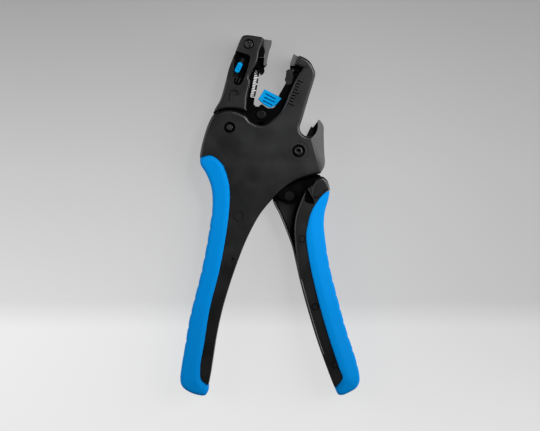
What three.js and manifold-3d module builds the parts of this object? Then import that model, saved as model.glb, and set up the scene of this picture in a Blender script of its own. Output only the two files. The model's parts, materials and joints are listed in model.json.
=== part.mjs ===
// Self-adjusting wire stripper with side cutter, lying flat on its back.
// Millimetres; +X across the handles, +Y towards the jaws, +Z up out of the face.
import * as THREE from 'three';
import Module from 'manifold-3d';
import { mergeVertices } from 'three/addons/utils/BufferGeometryUtils.js';

const wasm = await Module();
wasm.setup();

// Layers, measured from the mid-plane of the tool
const HALF = 10; // body shells and grips, half the thickness
const SEAM = 0.15; // half the gap between a front and a rear shell
const CAVITY = 7.5; // inside of the face plates
const LINK_ROOM = 5.6; // room for the push link below the grips
const JAW_HALF = 9.8; // left jaw shells
const JAW_ROOM = 3.7; // room for the blade arm in the left jaw
const TONGUE = [4.9, 7.2]; // cheeks that carry the left jaw on its pin
const CHEEK = [3.3, 4.6]; // draw lever cheeks and push link plates
const WEB = 3.0; // handle core and draw lever tail
const HUB = 7.2; // handle hub
const HANDLE_FACE = 9.3; // black part of the fixed handle
const COVER = 9.2; // handle cover shells
const CORE = 8.2; // hard core under the soft grips
const SKIN = 2.6; // grip thickness round the side of the core
const BLADE = [0.15, 1.75]; // cutter blade thickness, mirrored for the fixed one
const RIGHT_ARM = [0.4, 2.6];
const LEFT_ARM = [-2.6, -0.4];
const CASSETTE = 3.2;
const INSERT = 7.6; // clamping inserts

// Pivots
const MAIN = [15, 34.2];
const JAW = [-21.3, 46.6];
const ARM = [-4.7, 53.5];
const LINK = [10, 10.5];
const TAIL = [-17, 26.5];
const LINK_EYE = [-16.83, 26.4]; // far end of the push link
const LOBE = [-4.7, 52.3]; // round foot of the left arm
const SCREW = [-11.3, 90.5];
const KNOB = [-16.6, 78.2];
const KNOB_TILT = 65; // degrees from +X, the knob's sliding line
const RIVETS = [[7, 37.6], [6.6, 32.8]];

// Radii
const BOLT_R = 2.4;
const BOLT_HEAD_R = 3.15;
const PIN_R = 1.8;
const ARM_PIN_R = 1.55;
const LINK_PIN_R = 1.6;
const LOOSE_R = 1.95; // opened eye at the far end of the push link
const FIT = 0.08; // running clearance on a radius

// ---- outlines -------------------------------------------------------------

// A smooth run through a row of points.
function run(points, steps = 2) {
  const line = new THREE.CatmullRomCurve3(
    points.map(([x, y]) => new THREE.Vector3(x, y, 0)), false, 'centripetal');
  return line.getPoints(steps * (points.length - 1)).map((p) => [p.x, p.y]);
}

// Runs joined end to end, with a corner where two of them meet.
function outline(...runs) {
  const all = runs.flat();
  return all.filter(([x, y], i) => {
    const [px, py] = all[(i + all.length - 1) % all.length];
    return Math.hypot(x - px, y - py) > 0.05;
  });
}

function arc([cx, cy], r, from, to, n) {
  return Array.from({ length: n + 1 }, (_, i) => {
    const a = THREE.MathUtils.degToRad(from + (to - from) * i / n);
    return [cx + r * Math.cos(a), cy + r * Math.sin(a)];
  });
}

const disc = (centre, r, n = 24) => arc(centre, r, 0, 360 - 360 / n, n - 1);

function area(points) {
  return points.reduce((sum, [x, y], i) => {
    const [nx, ny] = points[(i + 1) % points.length];
    return sum + (x * ny - nx * y) / 2;
  }, 0);
}

// The outline moved inwards by d along the mitre at each corner.
function inset(points, d) {
  const turn = Math.sign(area(points));
  const normal = (a, b) => {
    const l = Math.hypot(b[0] - a[0], b[1] - a[1]);
    return [-(b[1] - a[1]) / l * turn, (b[0] - a[0]) / l * turn];
  };
  return points.map((p, i) => {
    const n1 = normal(points[(i + points.length - 1) % points.length], p);
    const n2 = normal(p, points[(i + 1) % points.length]);
    const k = d / Math.max(0.5, 1 + n1[0] * n2[0] + n1[1] * n2[1]);
    return [p[0] + (n1[0] + n2[0]) * k, p[1] + (n1[1] + n2[1]) * k];
  });
}

// The hard core inside a grip: the part of an outline that passes `keep`, drawn with
// points at least 4 mm apart and moved in by the thickness of the soft skin.
function coreOf(line, keep) {
  const kept = line.filter(keep).reduce((out, p) => {
    const last = out.at(-1);
    return last && Math.hypot(p[0] - last[0], p[1] - last[1]) < 4 ? out : [...out, p];
  }, []);
  return inset(kept, SKIN);
}

// A bar of half width r between two points, with round ends.
function bar([ax, ay], [bx, by], ra, rb = ra, n = 10) {
  const a = THREE.MathUtils.radToDeg(Math.atan2(by - ay, bx - ax));
  return [...arc([ax, ay], ra, a + 90, a + 270, n), ...arc([bx, by], rb, a - 90, a + 90, n)];
}

// ---- solids ---------------------------------------------------------------

function solid(geometry) {
  const g = geometry.clone();
  g.deleteAttribute('normal');
  g.deleteAttribute('uv');
  const merged = mergeVertices(g, 1e-4);
  return new wasm.Manifold(new wasm.Mesh({
    numProp: 3,
    vertProperties: merged.attributes.position.array,
    triVerts: new Uint32Array(merged.index.array),
  }));
}

// An outline between two heights, its edges rounded by `ease` in `rounds` steps.
function slab(line, z0, z1, ease = 0, rounds = 1) {
  const points = area(line) < 0 ? [...line].reverse() : line;
  const quarter = Array.from({ length: ease > 0 ? rounds + 1 : 1 }, (_, i) => {
    const a = Math.PI / 2 * i / rounds;
    return [ease * (1 - Math.sin(a)), ease * (1 - Math.cos(a))];
  });
  const rings = [...quarter.map(([d, z]) => [d, z0 + z]),
    ...[...quarter].reverse().map(([d, z]) => [d, z1 - z])];
  const n = points.length;
  const position = rings.flatMap(([d, z]) => (d > 0 ? inset(points, d) : points)
    .flatMap(([x, y]) => [x, y, z]));
  const cap = THREE.ShapeUtils.triangulateShape(points.map(([x, y]) => new THREE.Vector2(x, y)), []);
  const top = (rings.length - 1) * n;
  const index = cap.flatMap(([a, b, c]) => [a, c, b, a + top, b + top, c + top]);
  for (let k = 0; k < rings.length - 1; k += 1) {
    for (let i = 0; i < n; i += 1) {
      const [a, b] = [k * n + i, k * n + (i + 1) % n];
      index.push(a, b, b + n, a, b + n, a + n);
    }
  }
  const g = new THREE.BufferGeometry();
  g.setAttribute('position', new THREE.Float32BufferAttribute(position, 3));
  g.setIndex(index);
  return new wasm.Manifold(new wasm.Mesh({
    numProp: 3,
    vertProperties: g.attributes.position.array,
    triVerts: new Uint32Array(g.index.array),
  }));
}

const rod = (centre, r, z0, z1, n = 24) => slab(disc(centre, r, n), z0, z1);
const join = (...bodies) => bodies.reduce((a, b) => a.add(b));
const cut = (base, ...tools) => tools.reduce((a, b) => a.subtract(b), base);
const mirror = (body) => body.mirror([0, 0, 1]);

const EVERYWHERE = [[-90, -120], [90, -120], [90, 120], [-90, 120]];
const frontHalf = (body) => body.intersect(slab(EVERYWHERE, SEAM, 2 * HALF));

// ---- outlines of the tool -------------------------------------------------

const seamRun = run([[-31.1, 51.6], [-29.7, 53.4], [-25.5, 55.2], [-21.1, 55.8], [-16.8, 54.7],
  [-12.6, 52.6], [-10.5, 50], [-5.3, 47.9], [-1.6, 48.7], [1.6, 51.1], [5.3, 54.5],
  [7.9, 58.9], [10.5, 65.3], [14.2, 73.2], [17.4, 77.9]]);
const noseRun = [[12.9, 79.5], [15.3, 84.5]];
const jawBackRun = run([[15.3, 84.5], [18.4, 83.2], [21.1, 81.1], [22.9, 77.9], [23.9, 75],
  [22.8, 70.5], [20.8, 64.2], [17.1, 51.6], [15.7, 47], [16, 44.7], [17.1, 43.2], [18.9, 42],
  [21.6, 41.8], [23.4, 42.7], [24.9, 45.4], [25.4, 50.7]]);
const hookRun = run([[26.2, 50.6], [27.1, 49.4], [28.2, 47.4], [28.3, 42.6], [28.5, 34.7],
  [28.9, 27.9], [28.4, 25.5], [26.6, 22.6]]);
const underRun = run([[26.6, 22.6], [21, 21.3], [15.8, 19.7], [10.5, 17.1], [5.3, 13.2], [1.1, 8.8],
  [-5.4, 0.9], [-12.2, -11.8], [-17.3, -24.5], [-21.6, -37.1], [-25.3, -49.7], [-28.1, -62.4],
  [-30.1, -75], [-31.5, -84], [-32.5, -89]]);
const heelRun = run([[-32.7, -92.6], [-34.2, -94.6], [-37.6, -94.6], [-43.2, -92.6], [-46.5, -89.8],
  [-47.4, -86.3], [-46.8, -80], [-44.7, -67.4], [-42.6, -54.7], [-39.5, -42.1], [-36.3, -29.5],
  [-33.7, -16.8], [-31.6, -4.2], [-30.4, 5], [-31, 15], [-34, 22.8], [-36.6, 27],
  [-37, 30.8], [-36.3, 35.8], [-34.7, 42.1], [-32.6, 48.4], [-31.1, 51.6]]);
const bodyLine = outline(seamRun, noseRun, jawBackRun, hookRun, underRun, heelRun);

// Everything to the outside of the blue edge on the fixed handle
const fixedGripZone = outline([[-60, 31]], run([[-37.5, 30.6], [-34.3, 31.8], [-31, 32.1],
  [-26.8, 29.5], [-24.2, 26.3], [-22.3, 21], [-21.1, 14], [-21.3, 5], [-23.2, -10.5],
  [-26.8, -29.5], [-31.6, -48.4], [-34.7, -67.4], [-36.8, -80], [-36.2, -86], [-32.5, -89]]),
[[-27, -91], [-27, -110], [-60, -110]]);

const jawFloor = run([[-12.6, 56.8], [-12.3, 55.4], [-15.8, 56.1], [-21.1, 56.6], [-25.3, 56.1],
  [-30, 54.2]]);
const jawLine = outline(jawFloor, run([[-30, 54.2], [-28.9, 56.6], [-26.3, 61.1], [-23.2, 71.6],
  [-21.6, 77.9], [-17.9, 87.4], [-15.8, 92.6], [-14.6, 94.6], [-12.6, 95.3], [-4.6, 94.3]]),
[[-3.2, 93.2]], run([[-5.8, 86.3], [-6.8, 81.1], [-11.1, 73.2], [-10.5, 71.1], [-12.1, 63.7],
  [-12.6, 56.8]]));

const handleTop = run([[15.8, 6.8], [17.9, 11.6], [20, 14.7], [23.2, 17.4], [24.7, 19.5],
  [27.4, 20.8], [30, 18.9], [31, 16.4], [31.6, 13.7]]);
const handleBack = run([[31.6, 13.7], [30.8, 9], [28.9, 2.1], [28.4, -4.2], [28.9, -10.5],
  [31.3, -26], [35.3, -42.1], [40.5, -61.1], [44.7, -73.7], [47, -83], [47.2, -87.5],
  [45.4, -90.9], [42, -93], [38.5, -94.5], [36, -94.3], [34.7, -92]]);
const handleInside = run([[34.7, -92], [32.8, -87.6], [29.6, -79.2], [25.1, -66.6], [21.2, -54],
  [17.6, -41.3], [15.2, -32]]);
const coverInside = run([[15.2, -32], [14.3, -24.2], [13.2, -14.2], [12.8, -6.3], [13.7, 0.5],
  [15.8, 6.8]]);
const coverLine = outline(handleTop, handleBack, handleInside, coverInside);
const movingGripZone = outline([[60, 13.6]], run([[33, 13.9], [30.8, 13.4], [28.3, 11.9],
  [25.3, 8.4], [21.6, 2.1], [19.8, -4.2], [18.9, -10.5], [20.5, -23.2], [24.7, -42.1],
  [30, -61.1], [36.3, -80], [38.2, -85.5], [34, -90.3]]), [[28, -92], [28, -110], [60, -110]]);
const webInside = run([[15.2, -32], [13.5, -24.2], [11.6, -16.1], [8.5, -7.6], [5, 0.8],
  [1.4, 8.4], [1.8, 11.8], [5.4, 18.4], [8.4, 25], [9.2, 30]]);
const webLine = outline(handleInside, webInside,
  run([[9.2, 30], [15, 30], [21.6, 32.6], [23.4, 29.6], [24.4, 25.5], [25.4, 20], [25.6, 12]]),
  run([[25.6, 12], [23.6, 0], [24, -10.5], [29, -42], [36, -70], [40, -86]]), [[37.5, -91.4]]);
const coreLine = coreOf(coverLine, ([, y]) => y > -88);

// ---- fixed body -----------------------------------------------------------

const deepRoom = outline([[-29.2, 62]], run([[-29.2, 55], [-29.6, 51], [-30.8, 46], [-31.8, 40],
  [-30.4, 35], [-25.2, 31.6], [-22.4, 27.8], [-20.2, 22], [-18.9, 15]]),
run([[-9, 3.8], [-3.6, 8.6], [1, 13], [6, 17], [12, 20.4], [18, 22.6], [24.2, 24.2]]),
run([[25.9, 28], [25.9, 35], [25.6, 39.6]]),
run([[20.6, 39.9], [17.9, 40.8], [15.4, 42], [13.8, 44.2], [13.3, 47.4], [14.4, 51.9],
  [18.2, 64.6], [20.4, 71.4], [20.6, 74.4], [19.4, 76.4]]), [[8, 76.4], [0, 62]]);
const linkRoom = outline([[-31.6, 36]], run([[-31.9, 28], [-30.8, 23.8], [-28.4, 21.4], [-12.6, 14.2],
  [-10.6, 11], [-10.4, 4], [-11, -5]]), [[-8, -12], [27, -12], [26.4, 19], [25.5, 24], [25.5, 30]],
[[15, 38], [-15, 42]]);
const cutterRoom = [...arc(MAIN, 6.4, 62, 112, 6), ...arc(MAIN, 16.8, 112, 62, 8)];

const fixedCoreLine = coreOf(bodyLine, ([, y]) => y < 41 && y > -88);

const fixedBlade = outline([[18.9, 41.8], [21.8, 47.6], [22.8, 47], [25.4, 50.4], [26.1, 49.5],
  [25.8, 45.3], [26.4, 40], [26.4, 35.6], [24.4, 35.4], [23.2, 38.6], [20.8, 40.4]]);
const rightInsert = [[12.4, 85.5], [10.8, 81.1], [10.5, 79.2], [17.9, 79.2], [18.9, 81.1],
  [17.4, 82.6], [15.2, 83.9]];
const nosePocket = [[10.6, 77.85], [17.6, 77.75], [17.6, 79.3], [10.6, 79.3]]; // low floor by the insert
const noseShelf = [[12.3, 76.45], [17.2, 76.45], [17.6, 79.3], [10.6, 79.3], [10.6, 77.95],
  [12.3, 77.9]]; // reaches over the tip of the right arm

// The face falls away gently from the head to the fixed handle.
function handleFall() {
  const side = [[26, HALF], [0, HANDLE_FACE], [-110, HANDLE_FACE], [-110, 12], [26, 12]];
  return slab(side, -60, 60).rotate([90, 0, 90]);
}

// The side of the hook slopes off to the right of a line up the body.
function hookFall() {
  const [a, b] = [[20.6, 45.6], [26.6, 20]];
  const turn = THREE.MathUtils.radToDeg(Math.atan2(b[1] - a[1], b[0] - a[0]));
  const side = [[0, HALF], [9, HALF - 9 * Math.tan(THREE.MathUtils.degToRad(20))], [9, 12], [0, 12]];
  return slab(side, -6, 28).rotate([90, 0, 90]).rotate([0, 0, turn]).translate([a[0], a[1], 0]);
}

function bodyShell() {
  const whole = cut(slab(bodyLine, -HALF, HALF, 0.6), slab(fixedGripZone, -12, 12));
  const core = slab(fixedCoreLine, -CORE, CORE);
  const floor = join(slab(nosePocket, 0, 4), slab(noseShelf, 3.5, 5));
  const made = cut(join(cut(whole, handleFall(), hookFall()), core, floor),
    slab(deepRoom, -CAVITY, CAVITY), slab(linkRoom, -LINK_ROOM, LINK_ROOM), slab(cutterRoom, -2.2, 2.2),
    rod(MAIN, BOLT_R + FIT, -12, 12), rod(MAIN, BOLT_HEAD_R + 0.25, 8.3, 12),
    rod(JAW, PIN_R + FIT, -12, 12), slab(inset(rightInsert, -0.1), -INSERT - 0.1, INSERT + 0.1),
    cut(rod(MAIN, 5.7, HALF - 0.3, 12, 32), rod(MAIN, 5.1, 9, 13, 32)),
    cut(rod(JAW, 3.2, HALF - 0.3, 12), rod(JAW, 2.7, 9, 13)),
    rod([-16.8, 0], 2.6, HALF - 0.3, 12), rod([-19.7, -22.6], 0.6, HALF - 0.8, 12, 12));
  return frontHalf(made);
}

// Soft grip moulded round the outside of a core, open where the core shows.
function softGrip(line, zone, core) {
  const whole = slab(line.filter(([, y]) => y < 36), -HALF, HALF, 2.4, 2);
  const skin = whole.intersect(slab(inset(zone, 0.12), -12, 12));
  return frontHalf(cut(skin, slab(inset(core, -0.05), -CORE - 0.06, CORE + 0.06)));
}

// ---- handle ---------------------------------------------------------------

const lobe = outline(run([[15, 27.4], [7.4, 28.6], [4.6, 33], [5.4, 38], [8.2, 40.2], [10.8, 39.4],
  [15, 34.2]]));
const movingBlade = outline([[15.4, 43.1], [15.6, 50]], run([[15.6, 50], [13.6, 50.2], [9.4, 46.6],
  [6, 41], [4.9, 35.6], [5.4, 31.4]]), arc(MAIN, 6.6, 200, 92, 8));

function handleLever() {
  const plate = join(cut(slab(webLine, -WEB, WEB), slab(movingGripZone, -4, 4)),
    slab(coreLine, -WEB, WEB));
  const head = slab(lobe, -WEB, 0.1);
  const hub = join(rod(MAIN, 5.2, -HUB, HUB), rod(MAIN, 6.4, -WEB, WEB, 28));
  const seat = cut(slab([[0, 26], [15, 26], [15, 34.2], [13, 52], [0, 52]], 0.1, 4),
    rod(MAIN, 6.4, 0, 5, 28));
  const body = cut(join(cut(join(plate, rod(LINK, 3.4, -WEB, WEB)), seat), head, hub),
    rod(MAIN, BOLT_R + FIT, -12, 12), rod(LINK, LINK_PIN_R + 0.02, -12, 12, 20));
  return cut(body, ...RIVETS.map((at) => rod(at, 1.02, -12, 12, 16)));
}

function handleCover() {
  const whole = cut(slab(coverLine, -COVER, COVER, 0.8), slab(movingGripZone, -12, 12));
  const made = join(whole, slab(coreLine, -CORE, CORE));
  const upper = coverLine.filter(([, y]) => y > -80);
  const rim = cut(slab(inset(upper, 1.3), COVER - 0.5, 12), slab(inset(upper, 2), COVER - 1, 13));
  const step = slab([[17.8, 7.2], [21, 6.6], [22.4, 8.8], [21.8, 11.2], [19.6, 11.4]], COVER - 1.2, 12);
  const marks = [[16.8, -12.1], [23.7, -47.9], [34.4, -78.4]];
  const body = cut(made, slab(EVERYWHERE, -12, WEB + 0.3), step, rim,
    ...marks.map((at) => rod(at, 1.7, COVER - 0.35, 12, 20)));
  return body;
}

const cutterBlade = () => cut(slab(movingBlade, ...BLADE), ...RIVETS.map((at) => rod(at, 1.02, -3, 3, 16)));
const rivet = (at) => join(rod(at, 1, -WEB, BLADE[1] + 0.05, 16), rod(at, 1.6, BLADE[1] + 0.05, 2.4, 16));

// A pin with a head at both ends.
const headedPin = (at, r, headR, z, top) => join(rod(at, r, -z, z, 20), rod(at, headR, z, top),
  rod(at, headR, -top, -z));

// ---- linkage --------------------------------------------------------------

function drawLever() {
  const cheek = slab(bar(JAW, ARM, 4.4, 3.2), ...CHEEK);
  const tail = slab(bar(JAW, TAIL, 4.4, 2.9), -WEB, WEB);
  const body = join(tail, cheek, mirror(cheek), rod(JAW, 5.2, -CHEEK[1], CHEEK[1]));
  return cut(body, rod(JAW, PIN_R + FIT, -12, 12), rod(ARM, ARM_PIN_R + 0.02, -12, 12, 20),
    rod(TAIL, LINK_PIN_R + 0.02, -12, 12, 20));
}

function pushLink() {
  return cut(slab(bar(LINK, LINK_EYE, 3.4, 2.9), ...CHEEK), rod(LINK, LINK_PIN_R + FIT, 0, 12, 20),
    rod(LINK_EYE, LOOSE_R, 0, 12, 20));
}

// ---- left jaw -------------------------------------------------------------

const jawRoom = outline([[2, 84.3], [-10.6, 84.3], [-13.6, 78.8], [-15.2, 70], [-14.6, 62],
  [-14, 50], [2, 50]]);
const leftInsert = outline(run([[0.9, 92.6], [0.5, 90.5], [0, 89.1], [-0.5, 87.7], [-0.9, 85.9]]),
  [[-2.4, 85.4], [-2.8, 87.2], [-8.5, 87.2], [-8.5, 90.6], [-4.6, 93.4]]);
const leftLeg = [[-2.5, 86.3], [-0.9, 86.3], [-0.95, 85.9], [-1.5, 83.6], [-1.8, 81.1], [-2.3, 79.4],
  [-3.4, 79.6], [-2.9, 84.4], [-2.45, 85.5]];
const insertLedge = [[-6.5, 84.6], [-3.2, 84.6], [-2.7, 87.4], [-6.5, 87.4]];
const scoop = outline(run([[-27, 84], [-24, 86.6], [-19.5, 87.4], [-13.5, 85.6], [-10.8, 84.6]]),
  run([[-10.4, 83.4], [-11.8, 77.7], [-13.6, 72.8], [-15, 69.8], [-16.6, 68.8]]),
  [[-19, 69.5], [-28, 73]]);
const tongue = join(slab(disc(JAW, 6.4), ...TONGUE),
  slab([[-27.4, 48.4], [-12.9, 47.6], [-12.7, 55.9], [-15.6, 58], [-27, 58]], ...TONGUE));
const along = (centre, length, degrees) => {
  const a = THREE.MathUtils.degToRad(degrees);
  const [dx, dy] = [length / 2 * Math.cos(a), length / 2 * Math.sin(a)];
  return [-1, 1].map((s) => [centre[0] + s * dx, centre[1] + s * dy]);
};

function jawShell(front) {
  const hull = slab(jawLine, -JAW_HALF, JAW_HALF, 0.8);
  const base = cut(hull, slab(jawRoom, -JAW_ROOM, JAW_ROOM));
  const made = cut(join(frontHalf(join(base, slab(insertLedge, 0, INSERT - 0.2))), tongue),
    rod(JAW, PIN_R + FIT, 0, 12), slab(inset(leftInsert, -0.1), -INSERT - 0.1, INSERT + 0.1),
    rod(SCREW, 1.5, 0, 12, 20), rod(SCREW, 2.75, front ? 8.5 : 7.6, 12));
  if (!front) return made;
  return cut(made, slab(scoop, JAW_HALF - 2.2, 12), slab(bar(...along(KNOB, 10, KNOB_TILT), 0.95), 5, 12));
}

function phillips([x, y], r, z0, z1) {
  const slot = (w, h) => slab([[x - w, y - h], [x + w, y - h], [x + w, y + h], [x - w, y + h]], z0, z1);
  return join(slot(r, 0.35), slot(0.35, r));
}

function jawScrew() {
  return cut(join(rod(SCREW, 1.4, -8.6, 8.6, 20), slab(disc(SCREW, 2.6), 8.6, 9.7, 0.25)),
    phillips(SCREW, 1.6, 8.95, 12));
}

function knob() {
  const [a, b] = along(KNOB, 3.2, KNOB_TILT);
  const stem = along(KNOB, 1, KNOB_TILT);
  return join(slab(bar(a, b, 1.3), 7.75, 9.95, 0.25), slab(bar(...stem, 0.75, 0.75, 6), 5.3, 7.9));
}

// ---- blade arms -----------------------------------------------------------

const leftArmLine = outline(arc(ARM, 3.2, -110, 20, 8), [[-5.9, 57.9]],
  run([[-7.7, 58.3], [-8.6, 59.3], [-8.4, 61.4], [-7, 68.1], [-5.8, 75.4], [-4.6, 79]]),
  run([[-5, 82.6], [-9, 82.6], [-11.4, 79], [-13.2, 72], [-13.2, 63], [-13.4, 57], [-12.2, 51.4],
    [-8.4, 47.8]]));
const rightArmLine = outline(arc(ARM, 3.2, 150, 250, 6),
  run([[-2, 48.4], [3.2, 50], [7.6, 53.6], [11.4, 59.2], [13.8, 66], [15.5, 72], [15.7, 76],
    [16.3, 77.4]]),
  run([[10.4, 76.4], [9.6, 72.5], [8.2, 70.2], [6.7, 67.5], [4.4, 63.3], [3.4, 59.4], [1.8, 57.4],
    [0.2, 57.1], [-1.3, 57.2], [-4.3, 59.3]]), [[-5.8, 58.4], [-6.8, 56.4]]);
const leftCassette = outline([[-2.6, 83.8], [-2.3, 82.8], [-1.9, 81.1], [-2.1, 79.6], [-3.2, 78.8],
  [-3, 77.9], [-3, 76.5], [-3.8, 75.4], [-5.1, 74.7], [-5.7, 76.4], [-6.2, 78.6], [-10.2, 79],
  [-9.4, 83.8]]);
const rightCassette = outline([[9.3, 77.6], [8.4, 75.6], [8.4, 74.2], [7.7, 72.1], [8.4, 71.1],
  [8.4, 70.2], [9.6, 69.4], [11.6, 70.2], [12.2, 74], [12, 77.6]]);
const leftBlade = [[-1.6, 80.1], [-1.7, 80.6], [-7.4, 80.9], [-7.4, 80.3]];
const rightBlade = [[8.45, 76.5], [8.5, 77], [11.5, 77.1], [11.5, 76.5]];

function arm(line, layer, ...lobes) {
  return cut(join(slab(line, ...layer), ...lobes), rod(ARM, ARM_PIN_R + FIT, -12, 12, 20));
}

function cassette(line, armLine, layer, blade) {
  return cut(slab(line, -CASSETTE, CASSETTE, 0.3),
    slab(inset(armLine, -0.05), layer[0] - 0.05, layer[1] + 0.05),
    slab(inset(blade, -0.05), -3.0, 3.0));
}

function blade(line, armLine, layer) {
  return cut(slab(line, -2.9, 2.9), slab(inset(armLine, -0.1), layer[0] - 0.1, layer[1] + 0.1));
}

const stopLine = [[-2.9, 67.1], [-6.3, 61.8], [-4.2, 59.7], [-1.1, 57.6], [0.5, 57.2], [3.2, 58.7],
  [6.1, 62.1], [4.5, 63.3]];
const stopFinger = [[-2.9, 67.1], [-6.3, 61.8], [-4.2, 59.7], [-1.1, 57.6], [0.5, 57.5], [0.8, 64.8]];

function lengthStop() {
  const body = join(slab(stopLine, 2.8, 4.8, 0.3), slab(stopFinger, 0.2, 4, 0.3));
  const grooves = [0.75, 2.15, 3.55].map((d) => {
    const [ux, uy] = [0.89, -0.457];
    const [x, y] = [-3.3 - 0.54 * d, 66.6 - 0.84 * d];
    return slab([[x, y], [x + 6.4 * ux, y + 6.4 * uy], [x + 6.4 * ux - 0.3, y + 6.4 * uy - 0.5],
      [x - 0.3, y - 0.5]], 4.4, 6);
  });
  return cut(body, ...grooves);
}

// ---- return spring --------------------------------------------------------

class Coil extends THREE.Curve {
  getPoint(t) {
    const a = Math.PI * (0.9 + 5.2 * t);
    return new THREE.Vector3(MAIN[0] + 6 * Math.cos(a), MAIN[1] + 6 * Math.sin(a), 4.2 + 2.6 * t);
  }
}

function returnSpring() {
  const g = new THREE.ExtrudeGeometry(new THREE.Shape(disc([0, 0], 0.42, 8).map(([x, y]) =>
    new THREE.Vector2(x, y))), { steps: 60, bevelEnabled: false, extrudePath: new Coil() });
  return solid(g);
}

// ---- the assembly ---------------------------------------------------------

const paint = (name, color, roughness, metalness = 0) =>
  Object.assign(new THREE.MeshStandardMaterial({ color, roughness, metalness }), { name });
const black = paint('black_nylon', 0x17181a, 0.55);
const blue = paint('blue_soft_grip', 0x0b84e0, 0.6);
const clearBlue = paint('blue_nylon', 0x1188e6, 0.4);
const grey = paint('grey_insert', 0x8c8f92, 0.5);
const steel = paint('bright_steel', 0xb9bcc0, 0.3, 1);
const darkSteel = paint('black_steel', 0x2c2e31, 0.4, 1);
const bladeSteel = paint('blade_steel', 0x8f9398, 0.28, 1);

const group = new THREE.Group();
group.name = 'wire_stripper';

function add(name, body, material) {
  const made = body.getMesh();
  const g = new THREE.BufferGeometry();
  g.setAttribute('position', new THREE.BufferAttribute(new Float32Array(made.vertProperties), 3));
  g.setIndex(new THREE.BufferAttribute(new Uint32Array(made.triVerts), 1));
  g.computeVertexNormals();
  const mesh = new THREE.Mesh(g, material);
  mesh.name = name;
  group.add(mesh);
}

function addPair(name, body, material) {
  add(`${name}_front`, body, material);
  add(`${name}_rear`, mirror(body), material);
}

const shell = bodyShell();
add('body_shell_front', shell, black);
add('body_shell_rear', cut(mirror(shell), slab(inset(fixedBlade, -0.05), -BLADE[1] - 0.05, 0)), black);
addPair('fixed_grip', softGrip(bodyLine, fixedGripZone, fixedCoreLine), blue);
add('main_pivot_bolt', cut(join(rod(MAIN, BOLT_R, -8.2, 8.4), rod(MAIN, 1.4, -9.5, -8),
  slab(disc(MAIN, BOLT_HEAD_R), 8.35, 9.6, 0.3)), rod(MAIN, 1.6, 8.6, 12, 6)), darkSteel);
add('main_pivot_nut', cut(slab(disc(MAIN, BOLT_HEAD_R), -9.6, -8.35, 0.25), rod(MAIN, 1.45, -12, 0)),
  darkSteel);
add('jaw_pivot_pin', slab(disc(JAW, PIN_R), -9.7, 9.7, 0.2), darkSteel);
add('right_insert', slab(rightInsert, -INSERT, INSERT), grey);
add('fixed_cutter_blade', slab(fixedBlade, -BLADE[1], -BLADE[0]), bladeSteel);
add('return_spring', returnSpring(), steel);

add('handle_lever', handleLever(), black);
addPair('handle_cover', handleCover(), black);
addPair('moving_grip', softGrip(coverLine, movingGripZone, coreLine), blue);
add('moving_cutter_blade', cutterBlade(), bladeSteel);
RIVETS.forEach((at, i) => add(`cutter_rivet_${i + 1}`, rivet(at), steel));
add('link_pin', headedPin(LINK, LINK_PIN_R, 2.5, 4.7, 5.3), darkSteel);

add('draw_lever', drawLever(), darkSteel);
add('arm_pin', headedPin(ARM, ARM_PIN_R, 2.6, 4.7, 5.8), darkSteel);
add('tail_pin', headedPin(TAIL, LINK_PIN_R, 2.5, 4.7, 5.3), darkSteel);
addPair('push_link', pushLink(), darkSteel);

add('left_jaw_front', jawShell(true), black);
add('left_jaw_rear', mirror(jawShell(false)), black);
add('jaw_screw', jawScrew(), darkSteel);
add('jaw_nut', cut(slab(disc(SCREW, 2.6, 6), -9.6, -7.7), rod(SCREW, 1.45, -12, 0, 20)), steel);
add('left_insert', join(slab(leftInsert, -INSERT, INSERT), slab(leftLeg, 3.6, INSERT - 0.2),
  slab(leftLeg, 0.2 - INSERT, -3.6)), grey);
add('adjuster_knob', knob(), clearBlue);

add('left_arm', arm(leftArmLine, LEFT_ARM, rod(LOBE, 5.6, ...LEFT_ARM, 36)), darkSteel);
add('left_cassette', cassette(leftCassette, leftArmLine, LEFT_ARM, leftBlade), black);
add('left_blade', blade(leftBlade, leftArmLine, LEFT_ARM), bladeSteel);
add('right_arm', arm(rightArmLine, RIGHT_ARM), darkSteel);
add('right_cassette', cassette(rightCassette, rightArmLine, RIGHT_ARM, rightBlade), black);
add('right_blade', blade(rightBlade, rightArmLine, RIGHT_ARM), bladeSteel);
add('length_stop', lengthStop(), clearBlue);

// The rest plane becomes z = 0 and the box is centred over the origin.
const box = new THREE.Box3().setFromObject(group);
const centre = box.getCenter(new THREE.Vector3());
group.children.forEach((mesh) => mesh.geometry.translate(-centre.x, -centre.y, -box.min.z));

export default group;
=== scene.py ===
# Self-adjusting wire stripper, seen from straight above on a pale floor whose glow paints the light of a
# studio sweep.
# Outlines are in millimetres about the tool's own centre line, with z = 0 on its mid-plane.
import json
import math
import bmesh
import bpy
import numpy as np
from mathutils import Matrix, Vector


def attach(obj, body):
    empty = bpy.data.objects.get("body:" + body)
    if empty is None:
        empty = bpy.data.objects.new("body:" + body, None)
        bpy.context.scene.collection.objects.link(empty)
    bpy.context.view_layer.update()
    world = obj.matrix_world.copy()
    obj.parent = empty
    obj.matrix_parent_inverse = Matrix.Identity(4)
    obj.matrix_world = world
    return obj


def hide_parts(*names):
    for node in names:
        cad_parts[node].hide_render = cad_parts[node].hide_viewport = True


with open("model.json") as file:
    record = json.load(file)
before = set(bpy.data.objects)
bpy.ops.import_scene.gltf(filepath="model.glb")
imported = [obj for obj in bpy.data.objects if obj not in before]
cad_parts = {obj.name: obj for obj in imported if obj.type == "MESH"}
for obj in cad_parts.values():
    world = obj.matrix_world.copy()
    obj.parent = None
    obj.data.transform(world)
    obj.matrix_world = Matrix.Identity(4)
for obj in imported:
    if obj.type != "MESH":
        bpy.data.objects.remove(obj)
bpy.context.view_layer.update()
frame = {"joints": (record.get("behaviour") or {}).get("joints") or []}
scene = bpy.context.scene

MM = 0.001

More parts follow.
